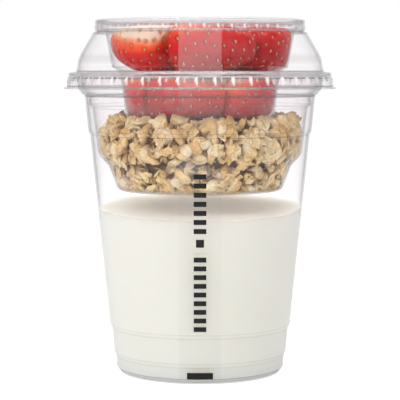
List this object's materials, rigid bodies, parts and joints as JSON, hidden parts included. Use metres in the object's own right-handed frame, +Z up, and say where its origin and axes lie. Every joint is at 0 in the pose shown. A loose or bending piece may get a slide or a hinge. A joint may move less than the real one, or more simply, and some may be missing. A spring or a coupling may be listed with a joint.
{
  "type": "layered yogurt pot",
  "caption": "Tapered clear pot of yogurt with a granola tub, a strawberry tub and a domed lid above it, held shut by a film strip.",
  "frame": {"origin": "on the pot's axis, in the plane its foot ring stands on", "axes": "+Z up along the pot's axis; the strip runs down the pot's -Y and +Y sides, and -Y is the shown front"},
  "size_m": [0.0932, 0.0936, 0.121],
  "materials": {
    "clear_cup": "clear, glossy",
    "clear_tubs": "clear, glossy",
    "clear_lids": "clear, glossy",
    "strip_film": "translucent white film",
    "yogurt": "smooth, creamy",
    "granola": "toasted oat flakes",
    "strawberry": "moist, seeded skin"
  },
  "bodies": {
    "root": {"cup": "clear_cup", "dome_lid": "clear_lids", "flat_lid": "clear_lids", "fruit_tub": "clear_tubs", "granola": "granola", "granola_tub": "clear_tubs", "label_strip": "strip_film", "strawberry_1": "strawberry", "strawberry_10": "strawberry", "strawberry_11": "strawberry", "strawberry_2": "strawberry", "strawberry_3": "strawberry", "strawberry_4": "strawberry", "strawberry_5": "strawberry", "strawberry_6": "strawberry", "strawberry_7": "strawberry", "strawberry_8": "strawberry", "strawberry_9": "strawberry", "yogurt": "yogurt"}
  },
  "joints": []
}
